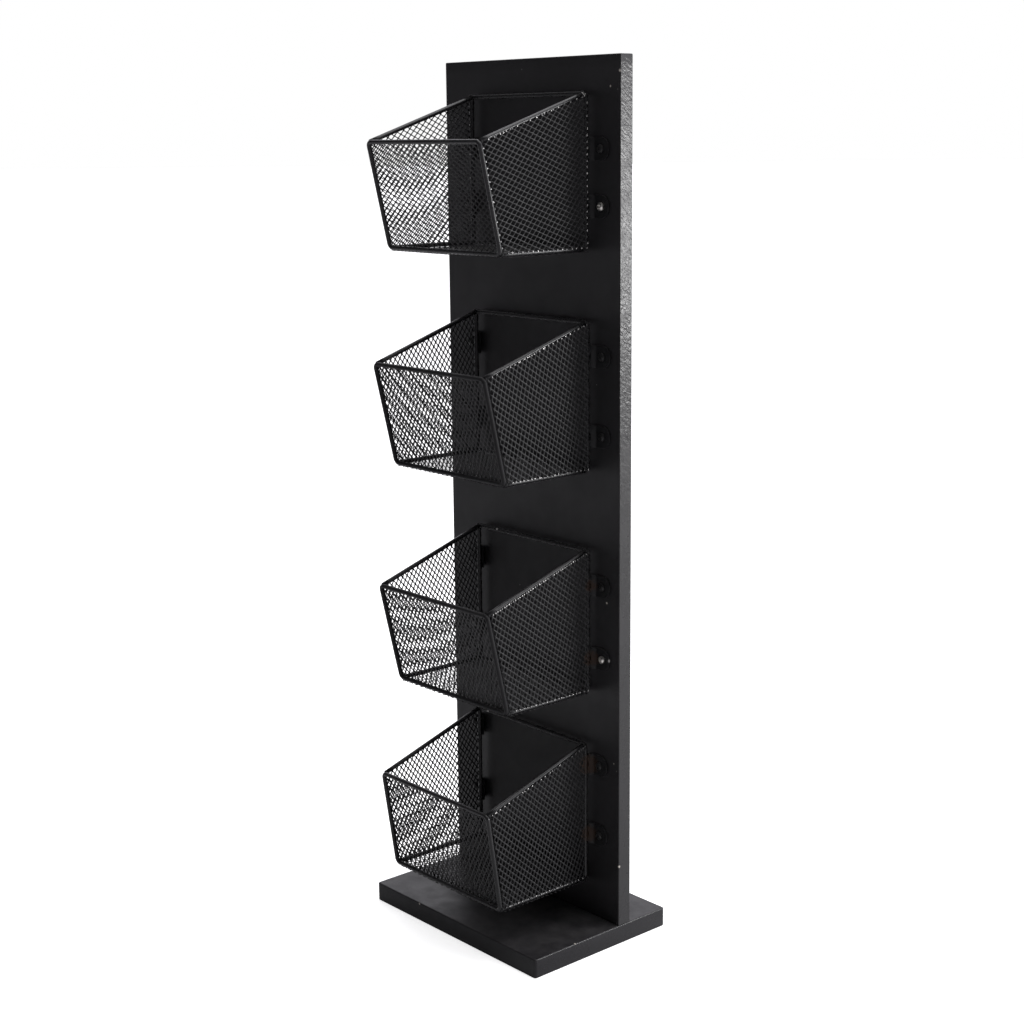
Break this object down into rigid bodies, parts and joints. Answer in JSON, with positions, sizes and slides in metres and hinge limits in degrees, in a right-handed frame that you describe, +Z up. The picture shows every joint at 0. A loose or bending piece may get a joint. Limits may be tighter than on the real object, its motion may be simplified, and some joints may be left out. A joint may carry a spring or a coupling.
{
  "type": "tiered mesh basket stand",
  "caption": "Free-standing black stand: an upright board on a base board, with open-backed, sloping-rimmed wire-mesh baskets screwed up its front to hold magazines and papers.",
  "frame": {"origin": "centre of the base board's underside, on the floor", "axes": "+Z up; -Y to the front, where the baskets are; +X to the right as seen from the front"},
  "size_m": [0.28, 0.2289, 0.972],
  "materials": {
    "black_board": "satin black paint over fibreboard, fine grainy edges, small pale chips",
    "black_wire": "semi-gloss black coating on drawn steel wire",
    "black_mesh": "semi-gloss black coating on expanded steel mesh",
    "black_lug": "semi-gloss black coating, a little rust at the welds",
    "black_screw": "blackened steel, worn to bright metal on some heads",
    "zinc_screw": "zinc-plated steel"
  },
  "bodies": {
    "root": {"base_board": "black_board", "upright_board": "black_board", "base_screws": "zinc_screw", "basket_1_back_frame": "black_wire", "basket_1_front_frame": "black_wire", "basket_1_side_rails": "black_wire", "basket_1_mesh_left": "black_mesh", "basket_1_mesh_right": "black_mesh", "basket_1_mesh_front": "black_mesh", "basket_1_mesh_bottom": "black_mesh", "basket_1_lugs": "black_lug", "basket_1_lug_screws": "black_screw", "basket_2_back_frame": "black_wire", "basket_2_front_frame": "black_wire", "basket_2_side_rails": "black_wire", "basket_2_mesh_left": "black_mesh", "basket_2_mesh_right": "black_mesh", "basket_2_mesh_front": "black_mesh", "basket_2_mesh_bottom": "black_mesh", "basket_2_lugs": "black_lug", "basket_2_lug_screws": "black_screw", "basket_3_back_frame": "black_wire", "basket_3_front_frame": "black_wire", "basket_3_side_rails": "black_wire", "basket_3_mesh_left": "black_mesh", "basket_3_mesh_right": "black_mesh", "basket_3_mesh_front": "black_mesh", "basket_3_mesh_bottom": "black_mesh", "basket_3_lugs": "black_lug", "basket_3_lug_screws": "black_screw", "basket_4_back_frame": "black_wire", "basket_4_front_frame": "black_wire", "basket_4_side_rails": "black_wire", "basket_4_mesh_left": "black_mesh", "basket_4_mesh_right": "black_mesh", "basket_4_mesh_front": "black_mesh", "basket_4_mesh_bottom": "black_mesh", "basket_4_lugs": "black_lug", "basket_4_lug_screws": "black_screw"}
  },
  "joints": []
}
